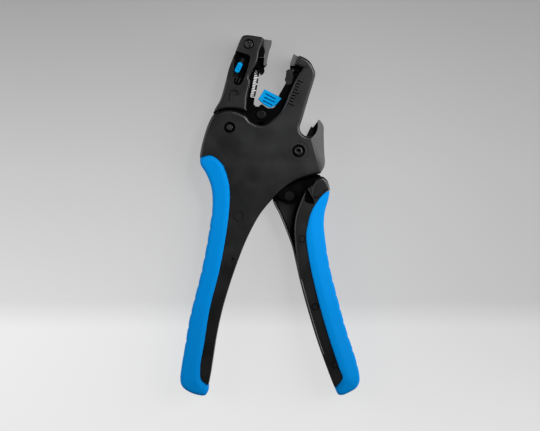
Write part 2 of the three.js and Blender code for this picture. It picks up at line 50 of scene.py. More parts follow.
HALF = 10.0
SEAM = 0.15
CAVITY = 7.5
LINK_ROOM = 5.6
JAW_HALF = 9.8
JAW_ROOM = 3.7
HANDLE_FACE = 9.3
COVER = 9.2
CORE = 8.2
SKIN = 2.6
WEB = 3.0
INSERT = 7.6
CASSETTE = 3.2
BLADE = (0.15, 1.75)
LEFT_ARM = (-2.6, -0.4)
RIGHT_ARM = (0.4, 2.6)

MAIN = (15.0, 34.2)
JAW = (-21.3, 46.6)
ARM = (-4.7, 53.5)
LINK = (10.0, 10.5)
TAIL = (-17.0, 26.5)
LINK_EYE = (-16.83, 26.4)
LOBE = (-4.7, 52.3)
SCREW = (-11.3, 90.5)
KNOB = (-16.6, 78.2)
KNOB_TILT = 65.0
KNOB_R = 1.3
TRACK = 10.0
RIVETS = ((7.0, 37.6), (6.6, 32.8))

main_joint = next(joint for joint in frame["joints"] if joint["name"] == "handle_pivot")
CENTRE = (MAIN[0] - main_joint["pos_m"][0] / MM, MAIN[1] - main_joint["pos_m"][1] / MM, -HALF)


# ---- camera ---------------------------------------------------------------

lens = bpy.data.cameras.new("camera")
camera = bpy.data.objects.new("camera", lens)
scene.collection.objects.link(camera)
scene.camera = camera
CAMERA_HEIGHT = 1.1
FRAME_WIDTH = 284.2 * MM
camera.location = (0.0, 0.0, 2 * HALF * MM + CAMERA_HEIGHT)
lens.sensor_width = 36.0
lens.lens = 36.0 * CAMERA_HEIGHT / FRAME_WIDTH
lens.clip_start = 0.01
lens.clip_end = 20.0


# ---- outlines -------------------------------------------------------------

def curve(points, steps=6):
    """A smooth run through a row of points (centripetal Catmull-Rom)."""
    p = [np.array(q, float) for q in points]
    p = [2 * p[0] - p[1]] + p + [2 * p[-1] - p[-2]]
    out = []
    for a, b, c, d in zip(p, p[1:], p[2:], p[3:]):
        ta, tb, tc = (max(np.dot(v - u, v - u), 1e-12) ** 0.25 for u, v in ((a, b), (b, c), (c, d)))
        m1 = ((b - a) / ta - (c - a) / (ta + tb) + (c - b) / tb) * tb
        m2 = ((c - b) / tb - (d - b) / (tb + tc) + (d - c) / tc) * tb
        for k in range(steps):
            t = k / steps
            out.append(b + m1 * t + (3 * (c - b) - 2 * m1 - m2) * t * t + (2 * (b - c) + m1 + m2) * t ** 3)
    out.append(p[-2])
    return [tuple(q) for q in out]


def outline(*runs):
    """Runs joined end to end, counter-clockwise, with a corner where two meet."""
    pts = [tuple(q) for r in runs for q in r]
    kept = [q for i, q in enumerate(pts) if math.dist(q, pts[i - 1]) > 0.03]
    area = sum(a[0] * b[1] - b[0] * a[1] for a, b in zip(kept, kept[1:] + kept[:1]))
    return kept if area > 0 else kept[::-1]


def arc(centre, r, start, end, n):
    turn = [math.radians(start + (end - start) * i / n) for i in range(n + 1)]
    return [(centre[0] + r * math.cos(a), centre[1] + r * math.sin(a)) for a in turn]


def disc(centre, r, n=64):
    return arc(centre, r, 0, 360 - 360 / n, n - 1)


def bar(a, b, ra, rb=None, n=20):
    """A bar between two points with round ends."""
    t = math.degrees(math.atan2(b[1] - a[1], b[0] - a[0]))
    return arc(a, ra, t + 90, t + 270, n) + arc(b, rb or ra, t - 90, t + 90, n)


def distance(points, line, closed=True):
    """Least distance from each point to a line of points."""
    p = np.asarray(points, float)[:, None, :]
    a = np.asarray(line, float)
    b = np.roll(a, -1, axis=0)
    if not closed:
        a, b = a[:-1], b[:-1]
    d = b - a
    t = np.clip(((p - a) * d).sum(-1) / np.maximum((d * d).sum(-1), 1e-12), 0, 1)
    return np.sqrt((((a + d * t[..., None]) - p) ** 2).sum(-1)).min(1)


def leftwards(path):
    """Unit normals to the left of a path, one at each of its points."""
    t = np.gradient(np.asarray(path, float), axis=0)
    return np.stack([-t[:, 1], t[:, 0]], 1) / np.linalg.norm(t, axis=1)[:, None]


def inset(line, d):
    """The outline moved inwards by d; points that would cross over gather where the sides meet."""
    p = np.asarray(outline(line), float)
    e = np.roll(p, -1, axis=0) - p
    n = np.stack([-e[:, 1], e[:, 0]], 1) / np.linalg.norm(e, axis=1)[:, None]
    m = np.roll(n, 1, axis=0)
    k = d / np.maximum(0.5, 1 + (n * m).sum(1))
    off = p + (n + m) * k[:, None]
    if d <= 0:
        return [tuple(q) for q in off]
    good = distance(off, p) > d * 0.985
    if good.all() or not good.any():
        return [tuple(q) for q in off]
    count = len(off)
    first = int(np.argmax(good))
    i = 0
    while i < count:
        j = (first + i) % count
        if good[j]:
            i += 1
            continue
        n_bad = 0
        while not good[(j + n_bad) % count]:
            n_bad += 1
        target = (off[j - 1] + off[(j + n_bad) % count]) / 2
        for k in range(n_bad):
            off[(j + k) % count] = target
        i += n_bad
    return [tuple(q) for q in off]


def core_of(line, keep):
    """The hard core inside a grip."""
    kept = []
    for q in line:
        if keep(q) and (not kept or math.dist(q, kept[-1]) >= 4):
            kept.append(q)
    return inset(kept, SKIN)


# ---- solids ---------------------------------------------------------------

def place(x, y, z):
    return Vector(((x - CENTRE[0]) * MM, (y - CENTRE[1]) * MM, (z - CENTRE[2]) * MM))


def make(name, bm):
    bmesh.ops.remove_doubles(bm, verts=bm.verts, dist=2e-6)
    bmesh.ops.recalc_face_normals(bm, faces=bm.faces)
    mesh = bpy.data.meshes.new(name)
    bm.to_mesh(mesh)
    bm.free()
    obj = bpy.data.objects.new(name, mesh)
    scene.collection.objects.link(obj)
    return obj


def loft(name, rings):
    """A closed solid through rings of equal length, each a list of (x, y, z)."""
    bm = bmesh.new()
    rows = [[bm.verts.new(place(*q)) for q in ring] for ring in rings]
    for low, high in zip(rows, rows[1:]):
        for i in range(len(low)):
            j = (i + 1) % len(low)
            bm.faces.new((low[i], low[j], high[j], high[i]))
    bm.faces.new(rows[0][::-1])
    bm.faces.new(rows[-1])
    return make(name, bm)


def slab(line, z0, z1, top=None, bottom=None, rounds=5, name="slab"):
    """An outline between two heights; top and bottom are (inset, drop) of a rounded edge."""
    line = outline(line)
    rings = []
    for (side, drop), z, way in ((bottom or (0, 0), z0, 1), (top or (0, 0), z1, -1)):
        steps = rounds if drop else 0
        part = []
        for k in range(steps + 1):
            a = math.pi / 2 * k / max(steps, 1)
            d = side * (1 - math.sin(a)) if drop else 0
            level = z + way * drop * (1 - math.cos(a))
            part.append([(x, y, level) for x, y in (inset(line, d) if d > 1e-6 else line)])
        rings += part if way > 0 else part[::-1]
    return loft(name, rings)


def rod(centre, r, z0, z1, n=64, **ease):
    return slab(disc(centre, r, n), z0, z1, **ease)


def turned(name, centre, profile, n=64):
    """A body turned about a vertical line; profile is (radius, z) from axis to axis."""
    bm = bmesh.new()
    rows = []
    for r, z in profile:
        if r < 1e-6:
            rows.append([bm.verts.new(place(centre[0], centre[1], z))] * n)
        else:
            rows.append([bm.verts.new(place(x, y, z)) for x, y in disc(centre, r, n)])
    for low, high in zip(rows, rows[1:]):
        for i in range(n):
            j = (i + 1) % n
            corners = list(dict.fromkeys((low[i], low[j], high[j], high[i])))
            if len(corners) > 2:
                bm.faces.new(corners)
    return make(name, bm)


def boolean(base, tools, operation):
    for tool in tools:
        m = base.modifiers.new("b", "BOOLEAN")
        m.operation = operation
        m.object = tool
        m.solver = "MANIFOLD"
    graph = bpy.context.evaluated_depsgraph_get()
    mesh = bpy.data.meshes.new_from_object(base.evaluated_get(graph))
    base.modifiers.clear()
    base.data = mesh
    for tool in tools:
        bpy.data.objects.remove(tool)
    return base


def cut(base, *tools):
    return boolean(base, tools, "DIFFERENCE")


def join(base, *tools):
    return boolean(base, tools, "UNION")


def meet(base, *tools):
    return boolean(base, tools, "INTERSECT")


def copy(obj, name):
    new = obj.copy()
    new.data = obj.data.copy()
    new.name = name
    scene.collection.objects.link(new)
    return new


def mirrored(obj, name):
    """The same piece on the other side of the mid-plane."""
    new = copy(obj, name)
    bm = bmesh.new()
    bm.from_mesh(new.data)
    for v in bm.verts:
        v.co.z = 2 * HALF * MM - v.co.z
    bmesh.ops.reverse_faces(bm, faces=bm.faces)
    bm.to_mesh(new.data)
    bm.free()
    return new


# ---- materials ------------------------------------------------------------

def put(nodes, kind, **values):
    """A new shader node with values on its inputs; an underscore stands for a space in a name."""
    node = nodes.new("ShaderNode" + kind)
    for name, value in values.items():
        node.inputs[name.replace("_", " ")].default_value = value
    return node


def material(name, base, rough, metal=0.0, grain=0.0, size=0.3, mottle=0.06, gloss=0.5, brushed=False,
             shade_reach=0.0):
    """A surface with fine grain in its height and slow variation in its sheen. With a distance for it,
    painted shade darkens corners and spots under overhangs: ambient occlusion drives metalness over a
    near-black base, which leaves nothing to reflect, and unlike the specular level it can vary over an
    exported surface."""
    mat = bpy.data.materials.new(name)
    mat.use_nodes = True
    nodes, links = mat.node_tree.nodes, mat.node_tree.links
    shader = nodes["Principled BSDF"]
    shader.inputs["Metallic"].default_value = metal
    shader.inputs["Specular IOR Level"].default_value = gloss
    place_at = put(nodes, "TexCoord")
    stretch = put(nodes, "Mapping", Scale=(1.0, 0.08, 1.0) if brushed else (1.0, 1.0, 1.0))
    links.new(place_at.outputs["Object"], stretch.inputs["Vector"])
    slow = put(nodes, "TexNoise", Scale=90.0, Detail=4.0)
    links.new(place_at.outputs["Object"], slow.inputs["Vector"])
    fine = put(nodes, "TexNoise", Scale=1000.0 / size, Detail=3.0)
    links.new(stretch.outputs["Vector"], fine.inputs["Vector"])
    sheen = put(nodes, "MapRange", From_Min=0.3, From_Max=0.7, To_Min=rough - mottle, To_Max=rough + mottle)
    links.new(slow.outputs["Fac"], sheen.inputs["Value"])
    links.new(sheen.outputs["Result"], shader.inputs["Roughness"])
    tone = nodes.new("ShaderNodeMix")
    tone.data_type = "RGBA"
    tone.inputs["A"].default_value = (*[c * 0.9 for c in base], 1.0)
    tone.inputs["B"].default_value = (*[min(1.0, c * 1.08 + 0.0008) for c in base], 1.0)
    links.new(fine.outputs["Fac"], tone.inputs["Factor"])
    links.new(tone.outputs["Result"], shader.inputs["Base Color"])
    bump = put(nodes, "Bump", Strength=grain, Distance=0.00004)
    links.new(fine.outputs["Fac"], bump.inputs["Height"])
    links.new(bump.outputs["Normal"], shader.inputs["Normal"])
    # Painted shade: where ambient occlusion finds the surface hemmed in, it turns metallic over its
    # near-black base and goes dark.
    if shade_reach:
        open_sky = put(nodes, "AmbientOcclusion", Distance=shade_reach)
        shade_to_metal = put(nodes, "MapRange", From_Min=0.62, From_Max=0.95, To_Min=1.0, To_Max=metal)
        links.new(open_sky.outputs["AO"], shade_to_metal.inputs["Value"])
        links.new(shade_to_metal.outputs["Result"], shader.inputs["Metallic"])
    return mat


NYLON = {"base": (0.0022, 0.0024, 0.0024), "rough": 0.37, "grain": 0.5, "size": 0.22, "gloss": 0.32}
MATERIALS = {
    "black_nylon": material("black_nylon", **NYLON),
    # Nylon with painted shade in its corners and under overhangs, for the handle's plate and front cover.
    "painted_shade_web_nylon": material("painted_shade_web_nylon", shade_reach=9 * MM, **NYLON),
    "blue_soft_grip": material("blue_soft_grip", (0.0, 0.192, 0.54), 0.55, grain=0.35, size=0.3, gloss=0.015),
    "blue_nylon": material("blue_nylon", (0.0, 0.24, 0.55), 0.4, grain=0.2, size=0.25, gloss=0.03),
    "grey_insert": material("grey_insert", (0.075, 0.075, 0.075), 0.45, grain=0.4, size=0.2, gloss=0.3),
    "bright_steel": material("bright_steel", (0.5, 0.5, 0.51), 0.28, 1.0, grain=0.3, size=0.12, brushed=True),
    "black_steel": material("black_steel", (0.0004, 0.0004, 0.0004), 0.42, grain=0.4, size=0.15, gloss=0.03),
    "dark_zinc": material("dark_zinc", (0.05, 0.05, 0.052), 0.36, 1.0, grain=0.3, size=0.15),
    "dull_zinc": material("dull_zinc", (0.013, 0.013, 0.014), 0.34, 1.0, grain=0.3, size=0.15),
    # A light grey coat that paints the highlight along the handle's inner edge.
    "painted_highlight_edge": material("painted_highlight_edge", (0.12, 0.12, 0.12), 0.4, grain=0.2, size=0.2),
    "blade_steel": material("blade_steel", (0.012, 0.012, 0.013), 0.3, 1.0, grain=0.3, size=0.1,
                            brushed=True),
    "white_print": material("white_print", (0.85, 0.85, 0.84), 0.55, grain=0.2, size=0.2),
}


def finish(obj, body, slot, nodes=(), bevel=0.12, angle=38.0, segments=2, coat=None):
    """Paints a piece, eases its cut edges, and fixes it to its body in place of its CAD nodes.
    A coat is a finish of its own over the material of the slot."""
    mesh = obj.data
    bm = bmesh.new()
    bm.from_mesh(mesh)
    bmesh.ops.dissolve_limit(bm, angle_limit=math.radians(0.2), verts=bm.verts, edges=bm.edges)
    bm.to_mesh(mesh)
    bm.free()
    mesh.materials.clear()
    mesh.materials.append(MATERIALS[coat or slot])
    for face in mesh.polygons:
        face.use_smooth = True
    mesh.set_sharp_from_angle(angle=math.radians(angle))
    if bevel:
        m = obj.modifiers.new("edges", "BEVEL")
        m.width = bevel * MM
        m.segments = segments
        m.limit_method = "ANGLE"
        m.angle_limit = math.radians(angle)
        m.use_clamp_overlap = True
        m.harden_normals = True
    w = obj.modifiers.new("normals", "WEIGHTED_NORMAL")
    w.keep_sharp = True
    w.weight = 50
    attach(obj, body)
    if nodes:
        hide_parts(*nodes)
    return obj


# ---- outlines of the tool -------------------------------------------------

seam_run = curve([(-31.1, 51.6), (-29.7, 53.4), (-25.5, 55.2), (-21.1, 55.8), (-16.8, 54.7),
                  (-12.6, 52.6), (-10.5, 50), (-5.3, 47.9), (-1.6, 48.7), (1.6, 51.1), (5.3, 54.5),
                  (7.9, 58.9), (10.5, 65.3), (14.2, 73.2), (17.4, 77.9)])
nose_run = [(12.9, 79.5), (15.3, 84.5)]
jaw_back_run = curve([(15.3, 84.5), (18.4, 83.2), (21.1, 81.1), (22.9, 77.9), (23.9, 75), (22.8, 70.5),
                      (20.8, 64.2), (17.1, 51.6), (15.7, 47), (16, 44.7), (17.1, 43.2), (18.9, 42),
                      (21.6, 41.8), (23.4, 42.7), (24.9, 45.4), (25.4, 50.7)])
hook_run = curve([(26.2, 50.6), (27.1, 49.4), (28.2, 47.4), (28.3, 42.6), (28.5, 34.7), (28.9, 27.9),
                  (28.4, 25.5), (26.6, 22.6)])
under_run = curve([(26.6, 22.6), (21, 21.3), (15.8, 19.7), (10.5, 17.1), (5.3, 13.2), (1.1, 8.8),
                   (-5.4, 0.9), (-12.2, -11.8), (-17.3, -24.5), (-21.6, -37.1), (-25.3, -49.7),
                   (-28.1, -62.4), (-30.1, -75), (-31.5, -84), (-32.5, -89)])
heel_run = curve([(-32.7, -92.6), (-34.2, -94.6), (-37.6, -94.6), (-43.2, -92.6), (-46.5, -89.8),
                  (-47.4, -86.3), (-46.8, -80), (-44.7, -67.4), (-42.6, -54.7), (-39.5, -42.1),
                  (-36.3, -29.5), (-33.7, -16.8), (-31.6, -4.2), (-30.4, 5), (-31, 15), (-34, 22.8),
                  (-36.6, 27), (-37, 30.8), (-36.3, 35.8), (-34.7, 42.1), (-32.6, 48.4),
                  (-31.1, 51.6)])
body_line = outline(seam_run, nose_run, jaw_back_run, hook_run, under_run, heel_run)

fixed_grip_edge = curve([(-37.5, 30.6), (-34.3, 31.8), (-31, 32.1), (-26.8, 29.5), (-24.2, 26.3),
                         (-22.3, 21), (-21.1, 14), (-21.3, 5), (-23.2, -10.5), (-26.8, -29.5),
                         (-31.6, -48.4), (-34.7, -67.4), (-36.8, -80), (-36.2, -86), (-32.5, -89)])
fixed_grip_zone = outline([(-60, 31)], fixed_grip_edge, [(-27, -91), (-27, -110), (-60, -110)])

jaw_line = outline(
    curve([(-12.6, 56.8), (-12.3, 55.4), (-15.8, 56.1), (-21.1, 56.6), (-25.3, 56.1), (-30, 54.2)]),
    curve([(-30, 54.2), (-28.9, 56.6), (-26.3, 61.1), (-23.2, 71.6), (-21.6, 77.9), (-17.9, 87.4),
           (-15.8, 92.6), (-14.6, 94.6), (-12.6, 95.3), (-4.6, 94.3)]),
    [(-3.2, 93.2)],
    curve([(-5.8, 86.3), (-6.8, 81.1), (-11.1, 73.2), (-10.5, 71.1), (-12.1, 63.7), (-12.6, 56.8)]))

handle_top = curve([(15.8, 6.8), (17.9, 11.6), (20, 14.7), (23.2, 17.4), (24.7, 19.5), (27.4, 20.8),
                    (30, 18.9), (31, 16.4), (31.6, 13.7)])
handle_back = curve([(31.6, 13.7), (30.8, 9), (28.9, 2.1), (28.4, -4.2), (28.9, -10.5), (31.3, -26),
                     (35.3, -42.1), (40.5, -61.1), (44.7, -73.7), (47, -83), (47.2, -87.5),
                     (45.4, -90.9), (42, -93), (38.5, -94.5), (36, -94.3), (34.7, -92)])
handle_inside = curve([(34.7, -92), (32.8, -87.6), (29.6, -79.2), (25.1, -66.6), (21.2, -54),
                       (17.6, -41.3), (15.2, -32)])
cover_inside = curve([(15.2, -32), (14.3, -24.2), (13.2, -14.2), (12.8, -6.3), (13.7, 0.5), (15.8, 6.8)])
cover_line = outline(handle_top, handle_back, handle_inside, cover_inside)
moving_grip_edge = curve([(33, 13.9), (30.8, 13.4), (28.3, 11.9), (25.3, 8.4), (21.6, 2.1), (19.8, -4.2),
                          (18.9, -10.5), (20.5, -23.2), (24.7, -42.1), (30, -61.1), (36.3, -80),
                          (38.2, -85.5), (34, -90.3)])
moving_grip_zone = outline([(60, 13.6)], moving_grip_edge, [(28, -92), (28, -110), (60, -110)])
web_inside = curve([(15.2, -32), (13.5, -24.2), (11.6, -16.1), (8.5, -7.6), (5, 0.8), (1.4, 8.4),
                    (1.8, 11.8), (5.4, 18.4), (8.4, 25), (9.2, 30)])
web_line = outline(handle_inside, web_inside,
                   curve([(9.2, 30), (15, 30), (21.6, 32.6), (23.4, 29.6), (24.4, 25.5), (25.4, 20),
                          (25.6, 12)]),
                   curve([(25.6, 12), (23.6, 0), (24, -10.5), (29, -42), (36, -70), (40, -86)]),
                   [(37.5, -91.4)])
core_line = core_of(cover_line, lambda q: q[1] > -88)
fixed_core_line = core_of(body_line, lambda q: -88 < q[1] < 41)

deep_room = outline([(-29.2, 62)], curve([(-29.2, 55), (-29.6, 51), (-30.8, 46), (-31.8, 40), (-30.4, 35),
                                          (-25.2, 31.6), (-22.4, 27.8), (-20.2, 22), (-18.9, 15)], 3),
                    curve([(-9, 3.8), (-3.6, 8.6), (1, 13), (6, 17), (12, 20.4), (18, 22.6),
                           (24.2, 24.2)], 3),
                    curve([(25.9, 28), (25.9, 35), (25.6, 39.6)], 3),
                    curve([(20.6, 39.9), (17.9, 40.8), (15.4, 42), (13.8, 44.2), (13.3, 47.4),
                           (14.4, 51.9), (18.2, 64.6), (20.4, 71.4), (20.6, 74.4), (19.4, 76.4)], 3),
                    [(8, 76.4), (0, 62)])
link_room = outline([(-31.6, 36)], curve([(-31.9, 28), (-30.8, 23.8), (-28.4, 21.4), (-12.6, 14.2),
                                          (-10.6, 11), (-10.4, 4), (-11, -5)], 3),
                    [(-8, -12), (27, -12), (26.4, 19), (25.5, 24), (25.5, 30)], [(15, 38), (-15, 42)])
cutter_room = arc(MAIN, 6.4, 62, 112, 12) + arc(MAIN, 16.8, 112, 62, 16)
fixed_blade = outline([(18.9, 41.8), (21.8, 47.6), (22.8, 47), (25.4, 50.4), (26.1, 49.5), (25.8, 45.3),
                       (26.4, 40), (26.4, 35.6), (24.4, 35.4), (23.2, 38.6), (20.8, 40.4)])
right_insert = [(12.4, 85.5), (10.8, 81.1), (10.5, 79.2), (17.9, 79.2), (18.9, 81.1), (17.4, 82.6),
                (15.2, 83.9)]
nose_pocket = [(10.6, 77.85), (17.6, 77.75), (17.6, 79.3), (10.6, 79.3)]
nose_shelf = [(12.3, 76.45), (17.2, 76.45), (17.6, 79.3), (10.6, 79.3), (10.6, 77.95), (12.3, 77.9)]
jaw_room = [(2, 84.3), (-10.6, 84.3), (-13.6, 78.8), (-15.2, 70), (-14.6, 62), (-14, 50), (2, 50)]
insert_face = [(0.9, 92.6), (0.5, 90.5), (0, 89.1), (-0.5, 87.7), (-0.9, 85.9)]
insert_back = [(-8.5, 87.2), (-8.5, 90.6), (-4.6, 93.4)]
left_insert = outline(curve(insert_face), [(-2.4, 85.4), (-2.8, 87.2)], insert_back)
insert_ledge = [(-6.5, 84.6), (-3.2, 84.6), (-2.7, 87.4), (-6.5, 87.4)]
cheek_root = [(-27.4, 48.4), (-12.9, 47.6), (-12.7, 55.9), (-15.6, 58), (-27, 58)]


def sloping(side, along, turn=0.0, at=(0.0, 0.0)):
    """A bar whose section is (across, z), laid along a line from `at` and turned about z."""
    spin = math.radians(turn)
    rings = []
    for length in along:
        section = []
        for across, z in side:
            x = at[0] + length * math.cos(spin) - across * math.sin(spin)
            y = at[1] + length * math.sin(spin) + across * math.cos(spin)
            section.append((x, y, z))
        rings.append(section)
    return loft("slope", rings)


def handle_fall():
    return sloping([(26, HALF), (0, HANDLE_FACE), (-110, HANDLE_FACE), (-110, 12), (26, 12)], (-60, 60))


def hook_fall():
    a, b = (20.6, 45.6), (26.6, 20)
    turn = math.degrees(math.atan2(b[1] - a[1], b[0] - a[0]))
    return sloping([(0, HALF), (9, HALF - 9 * math.tan(math.radians(20))), (9, 12), (0, 12)], (-6, 28),
                   turn, a)


def groove(path, width, z0, z1):
    """A narrow bar of even width that follows a line of points."""
    p = np.asarray(path, float)
    n = leftwards(p) * width / 2
    return slab([tuple(q) for q in p + n] + [tuple(q) for q in (p - n)[::-1]], z0, z1)


def ring(centre, outer, inner, z0, z1, **named):
    return cut(rod(centre, outer, z0, z1, **named), rod(centre, inner, z0 - 1, z1 + 1))


# ---- body shells ----------------------------------------------------------

def body_shell():
    base = slab(body_line, SEAM, HALF, top=(1.6, 0.95), bottom=(0.15, 0.15), name="body_shell_front")
    base = cut(base, handle_fall(), hook_fall())
    base = cut(base, slab(fixed_grip_zone, -1, 12))
    base = join(base, slab(fixed_core_line, SEAM, CORE), slab(nose_pocket, SEAM, 4),
                slab(nose_shelf, 3.5, 5))
    return cut(base, slab(deep_room, -1, CAVITY), slab(link_room, -1, LINK_ROOM),
               slab(cutter_room, -1, 2.2), rod(MAIN, 2.5, -1, 12), rod(MAIN, 3.5, 7.6, 12),
               rod(JAW, 1.9, -1, 12), rod(JAW, 2.95, 7.7, 12),
               slab(inset(right_insert, -0.08), -1, INSERT + 0.08))


def body_marks(shell):
    """Shallow rings, ejector marks and a plain sunk tick scale up the right jaw."""
    shell = cut(shell, ring(MAIN, 5.3, 4.8, HALF - 0.45, 12),
                ring((-16.8, 0), 2.7, 2.3, HANDLE_FACE - 0.6, 12),
                rod((-19.7, -22.6), 0.6, HANDLE_FACE - 1.6, 12, n=24),
                rod((-24.9, -34.5), 2.1, HANDLE_FACE - 0.2, 12))
    return cut(shell, *tick_scale((9.6, 59.2), (14.3, 71.4), 8, 3.4, 2.1, 0.65, (HALF - 1.6, 12)))


def tick_scale(a, b, gaps, long, short, width, layer):
    """Bars to the right of the line from a to b; every fourth is a long one."""
    a, b = np.array(a), np.array(b)
    right = -leftwards([a, b])[0]
    starts = [a + (b - a) * i / gaps for i in range(gaps + 1)]
    return [groove([q, q + right * (short if i % 4 else long)], width, *layer)
            for i, q in enumerate(starts)]


def finish_pair(front, node, body, slot, bevel, coat=None):
    """Finishes a piece and its mirror image at the back. A coat is for the front one alone."""
    rear = mirrored(front, node + "_rear")
    finish(front, body, slot, [node + "_front"], bevel=bevel, coat=coat)
    finish(rear, body, slot, [node + "_rear"], bevel=bevel)


shell = body_shell()
rear = mirrored(shell, "body_shell_rear")
rear = cut(rear, slab(inset(fixed_blade, -0.04), -1.8, 0.2))
finish(body_marks(shell), "body", "black_nylon", ["body_shell_front"], bevel=0.16)
finish(rear, "body", "black_nylon", ["body_shell_rear"], bevel=0.16)


# ---- soft grips -----------------------------------------------------------

GAP = 0.1  # crease between two materials


def even(line, n):
    """n + 1 points at even steps along a line."""
    p = np.asarray(line, float)
    s = np.concatenate([[0], np.cumsum(np.linalg.norm(np.diff(p, axis=0), axis=1))])
    t = np.linspace(0, s[-1], n + 1)
    return np.stack([np.interp(t, s, p[:, 0]), np.interp(t, s, p[:, 1])], 1)


def shoulder(d, radius):
    """How far a round edge has fallen at a distance d in from it."""
    u = np.clip(d / radius, 0, 1)
    return radius * (1 - np.sqrt(np.clip(1 - (1 - u) ** 2, 0, 1)))


def slope(d, width, fall):
    """A flat facet that falls towards the edge, with a soft ridge where it starts."""
    x = (width - d) / width
    soft = 0.12
    return fall * np.where(x < -soft, 0, np.where(x > soft, x, (x + soft) ** 2 / (4 * soft)))


def soft_grip(name, outer, edge, core, palm, crown, stations=170):
    """A skin over the core. Sections run from the palm side to the shell side; palm is the
    (width, fall, edge radius) of the outer facet, and crown the same for the inner one."""
    out_pts, in_pts = even(outer, stations), even(edge, stations)
    palm_width, palm_fall, palm_round = palm
    crown_width, crown_fall, crown_round = crown
    steps = np.concatenate([[0, 0.01, 0.025, 0.05, 0.08, 0.12, 0.17], np.linspace(0.23, 0.8, 11),
                            [0.86, 0.9, 0.93, 0.96, 0.98, 1]])
    starts, ends = out_pts[1:-1], in_pts[1:-1]
    span = np.linalg.norm(ends - starts, axis=1)[:, None]
    ends = ends - (ends - starts) / span * np.minimum(GAP, span / 3)
    grid = starts[:, None, :] + (ends - starts)[:, None, :] * steps[None, :, None]
    flat = grid.reshape(-1, 2)
    d_out = distance(flat, out_pts, closed=False)
    d_in = distance(flat, ends, closed=False)
    z = HALF - slope(d_out, palm_width, palm_fall) - shoulder(d_out, palm_round)
    z = z - slope(d_in, crown_width, crown_fall) - shoulder(d_in, crown_round)
    z = np.maximum(z, 5.2).reshape(len(starts), len(steps))
    rings = []
    for a, b, line, height in zip(starts, ends, grid, z):
        tuck = a + (b - a) * min(0.3, 0.35 / max(np.linalg.norm(b - a), 1e-6))
        skirt = [(*b, SEAM), (*tuck, SEAM), (*a, SEAM + 0.35), (*a, 4.0)]
        rings.append(skirt + [(x, y, h) for (x, y), h in zip(line, height)])
    return cut(loft(name, rings), slab(inset(core, -0.05), -1, CORE + 0.05))


def rippled(line, start, end, pitch, depth, side):
    """Shallow finger hollows down the palm side of a grip."""
    made = []
    for (x, y), (nx, ny) in zip(line, leftwards(line) * -side):
        wave = max(0.0, math.cos(2 * math.pi * (start - y) / pitch)) ** 3
        fade = min(max((start - y) / 8, 0), 1) * min(max((y - end) / 8, 0), 1)
        made.append((x - nx * depth * wave * fade, y - ny * depth * wave * fade))
    return made


heel_side = even([(-37, 30.9)] + [q for q in heel_run[::-1] if q[1] < 30.6] + [(-32.5, -89)], 400)
heel_side = rippled(heel_side, 8, -76, 7.4, 0.32, 1)
fixed_edge = [(-37, 30.9)] + [q for q in fixed_grip_edge if q[1] < 20 or q[0] > -36.5]
skin = soft_grip("fixed_grip_front", heel_side, fixed_edge, fixed_core_line, (7.5, 1.3, 1.9),
                 (2.4, 0.55, 0.4))
finish_pair(skin, "fixed_grip", "body", "blue_soft_grip", 0)

palm_side = even([(31.55, 13.5)] + [q for q in handle_back if q[1] < 13.2] + [(34, -90.4)], 400)
palm_side = rippled(palm_side, -12, -84, 7.4, 0.32, -1)
moving_edge = [(31.55, 13.5)] + [q for q in moving_grip_edge if q[0] < 31.2 or q[1] < 0]
skin = soft_grip("moving_grip_front", palm_side, moving_edge, core_line, (6.4, 2.3, 1.5),
                 (1.2, 0.25, 0.4))
finish_pair(skin, "moving_grip", "handle", "blue_soft_grip", 0)


# ---- pivot hardware -------------------------------------------------------

def hexagon(centre, r, turn=0.0):
    return arc(centre, r, turn, turn + 300, 5)


def bolt():
    """Button head in its counterbore, with a hexagon socket, over a plain shank and thread end."""
    head = [(0, -9.5), (1.2, -9.5), (1.4, -9.3), (1.4, -8.0), (2.3, -8.0), (2.4, -7.9), (2.4, 7.65),
            (3.1, 7.65), (3.1, 7.9), (2.3, 7.95)]
    head += [(2.3 - 0.7 * (1 - math.cos(a)), 8.2 + 1.1 * math.sin(a))
             for a in np.linspace(0, math.pi / 2, 9)]
    body = turned("main_pivot_bolt", MAIN, head + [(0, 9.3)])
    body = cut(body, slab(hexagon(MAIN, 1.5, 15), 5.6, 12))
    return finish(body, "body", "black_steel", ["main_pivot_bolt"], bevel=0.08, coat="dark_zinc")


def nut():
    profile = [(0, -9.6), (2.9, -9.6), (3.15, -9.35), (3.15, -8.45), (3.0, -8.35), (0, -8.35)]
    body = turned("main_pivot_nut", MAIN, profile)
    body = cut(body, rod(MAIN, 1.45, -12, 0))
    flats = [slab([(MAIN[0] + s * 2.7, 30), (MAIN[0] + s * 4, 30), (MAIN[0] + s * 4, 39),
                   (MAIN[0] + s * 2.7, 39)], -12, -8.9) for s in (-1, 1)]
    return finish(cut(body, *flats), "body", "black_steel", ["main_pivot_nut"], bevel=0.08)


def washer(name, *shape):
    """A blackened washer at the bottom of a counterbore."""
    finish(ring(*shape, name=name), "body", "black_steel", bevel=0.05)


def pin(name, centre, profile, body, slot="black_steel", coat=None):
    closed = [(0, profile[0][1])] + profile + [(0, profile[-1][1])]
    finish(turned(name, centre, closed), body, slot, [name], bevel=0, angle=28, coat=coat)


def headed(r, head, z, top, round_off=0.18):
    """Profile of a pin with a rounded head at both ends."""
    half = [(r, 0), (r, z), (head, z)]
    half += [(head - round_off * (1 - math.cos(a)), top - round_off * (1 - math.sin(a)))
             for a in np.linspace(0, math.pi / 2, 5)]
    return [(radius, -level) for radius, level in half[::-1]][:-1] + half


